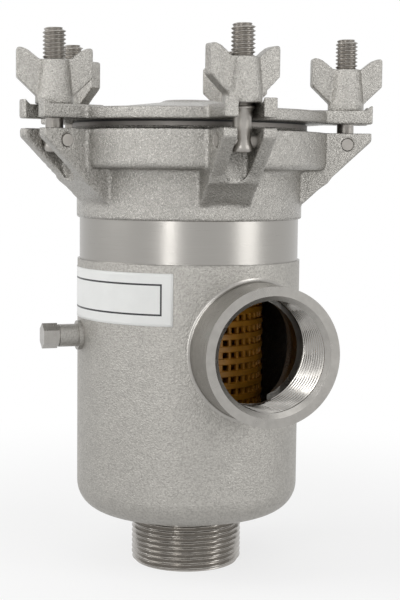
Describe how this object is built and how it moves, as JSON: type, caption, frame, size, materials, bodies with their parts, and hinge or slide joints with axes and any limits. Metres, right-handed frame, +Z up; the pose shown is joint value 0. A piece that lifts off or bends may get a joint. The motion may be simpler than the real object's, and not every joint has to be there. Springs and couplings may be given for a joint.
{
  "type": "sea water strainer",
  "caption": "Stainless pot strainer with a threaded side inlet and bottom outlet, an inner basket, and a lid clamped by swing bolts with wing nuts.",
  "frame": {"origin": "centre of the threaded outlet's lower end", "axes": "+Z up along the pot's axis; the inlet opens towards -Y; the first swing bolt stands over -Y; the drain plug points towards -X"},
  "size_m": [0.158, 0.146, 0.2266],
  "materials": {
    "cast_steel": "bead-blasted cast stainless steel, matt and finely grained",
    "turned_steel": "machined stainless steel, bright with fine turning lines",
    "bolt_steel": "rolled-thread stainless steel, satin",
    "gasket_rubber": "matt black rubber",
    "basket_plastic": "moulded amber plastic"
  },
  "bodies": {
    "root": {"pot_shell": "cast_steel", "outlet_nipple": "turned_steel", "inlet_socket": "turned_steel", "drain_boss": "cast_steel", "drain_plug": "turned_steel", "head_casting": "cast_steel", "lid_gasket": "gasket_rubber", "lid": "cast_steel", "strainer_basket": "basket_plastic", "pivot_pin_1": "bolt_steel", "pivot_pin_2": "bolt_steel", "pivot_pin_3": "bolt_steel", "pivot_pin_4": "bolt_steel", "pivot_pin_5": "bolt_steel"},
    "eye_bolt_1": {"eye_bolt_1": "bolt_steel"},
    "wing_nut_1": {"wing_nut_1": "cast_steel"},
    "eye_bolt_2": {"eye_bolt_2": "bolt_steel"},
    "wing_nut_2": {"wing_nut_2": "cast_steel"},
    "eye_bolt_3": {"eye_bolt_3": "bolt_steel"},
    "wing_nut_3": {"wing_nut_3": "cast_steel"},
    "eye_bolt_4": {"eye_bolt_4": "bolt_steel"},
    "wing_nut_4": {"wing_nut_4": "cast_steel"},
    "eye_bolt_5": {"eye_bolt_5": "bolt_steel"},
    "wing_nut_5": {"wing_nut_5": "cast_steel"}
  },
  "joints": [
    {"name": "bolt_swing_1", "type": "hinge", "parent": "root", "child": "eye_bolt_1", "pos_m": [0, -0.0668, 0.182], "axis": [1, 0, 0], "range_deg": [0, 60]},
    {"name": "nut_travel_1", "type": "slide", "parent": "eye_bolt_1", "child": "wing_nut_1", "axis": [0, 0, 1], "range_m": [0, 0.0258]},
    {"name": "bolt_swing_2", "type": "hinge", "parent": "root", "child": "eye_bolt_2", "pos_m": [0.06353, -0.02064, 0.182], "axis": [0.309, 0.9511, 0], "range_deg": [0, 60]},
    {"name": "nut_travel_2", "type": "slide", "parent": "eye_bolt_2", "child": "wing_nut_2", "axis": [0, 0, 1], "range_m": [0, 0.0258]},
    {"name": "bolt_swing_3", "type": "hinge", "parent": "root", "child": "eye_bolt_3", "pos_m": [0.03926, 0.05404, 0.182], "axis": [-0.809, 0.5878, 0], "range_deg": [0, 60]},
    {"name": "nut_travel_3", "type": "slide", "parent": "eye_bolt_3", "child": "wing_nut_3", "axis": [0, 0, 1], "range_m": [0, 0.0258]},
    {"name": "bolt_swing_4", "type": "hinge", "parent": "root", "child": "eye_bolt_4", "pos_m": [-0.03926, 0.05404, 0.182], "axis": [-0.809, -0.5878, 0], "range_deg": [0, 60]},
    {"name": "nut_travel_4", "type": "slide", "parent": "eye_bolt_4", "child": "wing_nut_4", "axis": [0, 0, 1], "range_m": [0, 0.0258]},
    {"name": "bolt_swing_5", "type": "hinge", "parent": "root", "child": "eye_bolt_5", "pos_m": [-0.06353, -0.02064, 0.182], "axis": [0.309, -0.9511, 0], "range_deg": [0, 60]},
    {"name": "nut_travel_5", "type": "slide", "parent": "eye_bolt_5", "child": "wing_nut_5", "axis": [0, 0, 1], "range_m": [0, 0.0258]}
  ],
  "couplings": [
    {"joint": "nut_travel_1", "follows": "bolt_swing_1", "m_per_rad": 0.0245},
    {"joint": "nut_travel_2", "follows": "bolt_swing_2", "m_per_rad": 0.0245},
    {"joint": "nut_travel_3", "follows": "bolt_swing_3", "m_per_rad": 0.0245},
    {"joint": "nut_travel_4", "follows": "bolt_swing_4", "m_per_rad": 0.0245},
    {"joint": "nut_travel_5", "follows": "bolt_swing_5", "m_per_rad": 0.0245}
  ]
}
